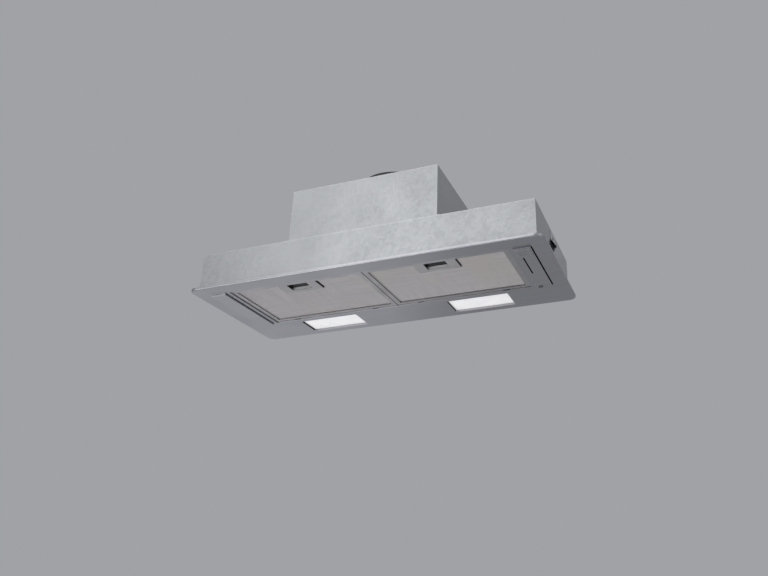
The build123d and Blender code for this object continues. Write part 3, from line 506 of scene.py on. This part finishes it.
def corrugated_block(drawn, low, high):
    """A block of folded foil: its lower face is a wave across X, the other faces are flat."""
    steps = max(CORE_STATIONS, round((high.x - low.x) / CORE_PITCH * CORE_STATIONS))
    ring_before = None
    for step in range(steps + 1):
        x = low.x + (high.x - low.x) * step / steps
        wave = CORE_WAVE * (1 - sin(x / CORE_PITCH * 2 * pi)) / 2
        points = ((low.y, low.z + wave), (high.y, low.z + wave), (high.y, high.z), (low.y, high.z))
        ring = [drawn.verts.new((x, y, z)) for y, z in points]
        if ring_before:
            for index in range(4):
                after = (index + 1) % 4
                drawn.faces.new((ring_before[index], ring_before[after], ring[after], ring[index]))
        else:
            drawn.faces.new(reversed(ring))
        ring_before = ring
    drawn.faces.new(ring_before)


def filter_core(drawn, side):
    """The folded layers of one filter, in three blocks round its latch housing."""
    low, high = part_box("filter_pad_" + side)
    notch_low, notch_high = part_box("latch_housing_" + side)
    bottom = low.z + CORE_RISE
    for x, front in (
        ((low.x, notch_low.x), low.y),
        ((notch_low.x, notch_high.x), notch_high.y),
        ((notch_high.x, high.x), low.y),
    ):
        corrugated_block(drawn, Vector((x[0], front, bottom)), Vector((x[1], high.y, high.z)))


def dress_filter(side, materials):
    """Face mesh, inner layers and back mesh of one filter, as real expanded metal."""
    body = "filter_" + side
    openings = [
        (low - LATCH_ROOM, high + LATCH_ROOM)
        for low, high in (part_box("latch_housing_" + side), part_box("latch_slider_" + side))
    ]
    face_low, face_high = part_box("filter_mesh_" + side)
    pad_low, pad_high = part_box("filter_pad_" + side)
    back_low, back_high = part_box("filter_back_mesh_" + side)
    layers = (
        ("filter_face_mesh_", "filter_mesh_", face_low, face_high, face_low.z, FACE_CELL, openings),
        ("filter_inner_mesh_", None, pad_low, pad_high, pad_low.z + INNER_MESH_RISE, INNER_CELL, openings),
        ("filter_rear_mesh_", "filter_back_mesh_", back_low, back_high, back_low.z, BACK_CELL, []),
    )
    for name, node, low, high, z, cell, holes in layers:
        made = mesh_object(
            name + side,
            lambda drawn: expanded_metal(drawn, low + LAYER_GAP, high - LAYER_GAP, z, cell, holes),
        )
        made.data.materials.append(materials["mesh_foil"])
        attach(made, body)
        if node:
            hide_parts(node + side)
    core = mesh_object("filter_core_" + side, lambda drawn: filter_core(drawn, side))
    core.data.materials.append(materials["filter_layers"])
    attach(core, body)
    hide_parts("filter_pad_" + side)


def bowed_leaf(drawn, low, high):
    """A bowed strip of spring steel: its ends lie at the rear, its middle reaches the front."""
    half = (high.x - low.x) / 2
    depth = high.y - low.y - SPRING_STRIP
    stations = []
    for step in range(SPRING_STEPS + 1):
        along = 2 * step / SPRING_STEPS - 1
        front = high.y - SPRING_STRIP - depth * (1 - along * along)
        rear = front + SPRING_STRIP
        x = low.x + half * (1 + along)
        corners = ((front, low.z), (rear, low.z), (rear, high.z), (front, high.z))
        stations.append([drawn.verts.new((x, y, z)) for y, z in corners])
    for near, far in zip(stations, stations[1:]):
        for index in range(4):
            after = (index + 1) % 4
            drawn.faces.new((near[index], far[index], far[after], near[after]))
    drawn.faces.new(stations[0])
    drawn.faces.new(reversed(stations[-1]))
    bmesh.ops.recalc_face_normals(drawn, faces=drawn.faces)


def dress_spring(side, materials):
    """The latch spring, as a bowed leaf of spring steel on its filter."""
    node = "latch_spring_" + side
    low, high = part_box(node)
    leaf = mesh_object("latch_leaf_" + side, lambda drawn: bowed_leaf(drawn, low, high))
    leaf.data.materials.append(materials["spring_steel"])
    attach(leaf, "filter_" + side)
    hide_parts(node)
    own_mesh(leaf)


def weld_mark(drawn, x, y, z):
    """The shallow round mark that a welding tip leaves on a sheet's upper side."""
    turns = [2 * pi * step / WELD_FACETS for step in range(WELD_FACETS)]
    rings = [
        [drawn.verts.new((x + radius * cos(turn), y + radius * sin(turn), z + height)) for turn in turns]
        for radius, height in WELD_RINGS
    ]
    for lower, upper in zip(rings, rings[1:]):
        for index in range(WELD_FACETS):
            after = (index + 1) % WELD_FACETS
            drawn.faces.new((lower[index], lower[after], upper[after], upper[index]))
    drawn.faces.new(rings[-1])
    drawn.faces.new(reversed(rings[0]))


def weld_marks(drawn):
    """Rows of spot welds on the upper box's foot, and along the front and rear edge of the body's lid."""
    foot_low, foot_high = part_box("motor_box")
    foot_z = foot_low.z + FOOT_SHEET
    foot_x = foot_high.x - FOOT_WELD_EDGE
    foot_y = foot_high.y - FOOT_WELD_EDGE
    lid_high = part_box("plenum_top")[1]
    lid_y = lid_high.y - LID_WELD_EDGE
    signs = (-1, 1)
    places = [(sign * foot_x, row * END_WELD_PITCH, foot_z) for sign in signs for row in FOOT_WELD_ROWS]
    places += [(row * FRONT_WELD_PITCH, sign * foot_y, foot_z) for sign in signs for row in FOOT_WELD_ROWS]
    places += [
        (end * reach, sign * lid_y, lid_high.z)
        for end in signs
        for sign in signs
        for reach in LID_WELD_REACHES
    ]
    for at in places:
        weld_mark(drawn, *at)
    bmesh.ops.recalc_face_normals(drawn, faces=drawn.faces)


def weld_body(materials):
    """The spot welds of the body's sheets, as one piece."""
    welds = mesh_object("spot_welds", weld_marks)
    welds.data.materials.append(materials["galvanised_body"])
    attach(welds, "root")


def lamp_seal_and_shade(drawn, x, side, y, z):
    """A soft strip on one short wall of a lamp window, with a rounded lip along its lower edge, that also
    paints the shade of that wall.
    """
    low, high = z
    profile = (
        (0, high),
        (0, low),
        (0.0003, low - 0.0003),
        (0.0007, low),
        (0.0009, low + 0.0006),
        (0.0006, high),
    )
    ends = [[drawn.verts.new((x + side * reach, at, height)) for reach, height in profile] for at in y]
    drawn.faces.new(ends[0])
    drawn.faces.new(reversed(ends[1]))
    for index in range(len(profile)):
        after = (index + 1) % len(profile)
        drawn.faces.new((ends[0][index], ends[1][index], ends[1][after], ends[0][after]))
    bmesh.ops.recalc_face_normals(drawn, faces=drawn.faces)


def seal_and_shade_lamps(materials):
    """The black strips that close the light gap at both ends of each lens and also paint the shade on the
    windows' short walls.
    """
    for side in SIDES:
        low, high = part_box("lamp_lens_" + side)
        y = (low.y + SEAL_CORNER, high.y - SEAL_CORNER)
        z = (SEAL_Z, low.z - SEAL_TOP_GAP)
        for end, x, inward in (("outer", low.x - LENS_GAP, 1), ("inner", high.x + LENS_GAP, -1)):
            seal = mesh_object(
                f"lamp_seal_and_shade_{end}_{side}",
                lambda drawn: lamp_seal_and_shade(drawn, x, inward, y, z),
            )
            seal.data.materials.append(materials["rubber_mounts"])
            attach(seal, "root")


def make_floor():
    """A plain pale floor, well below the hood."""
    floor = mesh_object(
        "floor",
        lambda drawn: bmesh.ops.create_grid(drawn, x_segments=1, y_segments=1, size=FLOOR_SIZE),
    )
    floor.location.z = FLOOR_Z
    material, tree, shader = surface("floor", (0.78, 0.78, 0.77), 0.9)
    clouds = noise(tree, (3, 3, 3), 2.0)
    pale = blend_colours(tree, spread(tree, clouds, 0.0, 1.0), (0.775, 0.775, 0.765), (0.785, 0.785, 0.775))
    tree.links.new(pale, shader.inputs["Base Color"])
    floor.data.materials.append(material)


def area_light(name, place_at, size, power, opening=180, colour=(1.0, 1.0, 1.0)):
    """A soft square lamp that faces the hood and shines within an angle in degrees."""
    light = bpy.data.lights.new(name, "AREA")
    light.spread = radians(opening)
    light.size = size
    light.energy = power
    light.color = colour
    made = bpy.data.objects.new(name, light)
    bpy.context.scene.collection.objects.link(made)
    made.location = place_at
    made.rotation_mode = "QUATERNION"
    made.rotation_quaternion = (Vector(LIGHT_TARGET) - Vector(place_at)).to_track_quat("-Z", "Y")


def make_lights():
    """Soft studio light: a pale surround, a key from the front left, a fill, one above and two low ones."""
    world = bpy.data.worlds.new("studio")
    world.use_nodes = True
    background = world.node_tree.nodes["Background"]
    background.inputs["Color"].default_value = (0.93, 0.95, 1.0, 1)
    background.inputs["Strength"].default_value = 0.38
    bpy.context.scene.world = world
    area_light("key", (-0.85, -2.6, 1.2), 1.8, 16)
    area_light("front", (-1.0, -1.4, -1.1), 1.0, 2.0, 80)
    area_light("fill", (2.2, -1.2, 0.4), 1.8, 6)
    area_light("top", (-0.9, 0.7, 2.4), 2.0, 14)
    area_light("under", (-1.2, 1.5, -0.95), 1.3, 0.35, 80, (0.95, 0.96, 1.0))


def make_camera():
    """The photograph's view."""
    data = bpy.data.cameras.new("camera")
    data.sensor_width = SENSOR
    data.lens = FOCAL_PIXELS / PICTURE_WIDTH * SENSOR
    data.shift_x = CAMERA_SHIFT_X
    data.clip_start = 0.05
    data.clip_end = 50
    camera = bpy.data.objects.new("camera", data)
    bpy.context.scene.collection.objects.link(camera)
    axes = (Vector(CAMERA_RIGHT), -Vector(CAMERA_DOWN), -Vector(CAMERA_FORWARD))
    turn = Matrix(axes).transposed()
    camera.matrix_world = Matrix.Translation(CAMERA_PLACE) @ turn.to_4x4()
    bpy.context.scene.camera = camera


with open("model.json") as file:
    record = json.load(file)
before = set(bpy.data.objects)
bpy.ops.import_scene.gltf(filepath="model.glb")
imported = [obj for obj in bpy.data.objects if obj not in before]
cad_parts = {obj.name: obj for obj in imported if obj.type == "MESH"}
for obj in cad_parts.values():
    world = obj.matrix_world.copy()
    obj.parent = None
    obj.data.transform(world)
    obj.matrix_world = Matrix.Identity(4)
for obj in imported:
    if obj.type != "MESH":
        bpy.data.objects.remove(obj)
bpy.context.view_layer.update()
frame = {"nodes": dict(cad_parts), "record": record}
bpy.context.scene.view_settings.view_transform = "Standard"
finishes = make_materials()
dress_nodes(finishes)
for side in SIDES:
    dress_filter(side, finishes)
    dress_spring(side, finishes)
weld_body(finishes)
seal_and_shade_lamps(finishes)
make_floor()
make_lights()
make_camera()
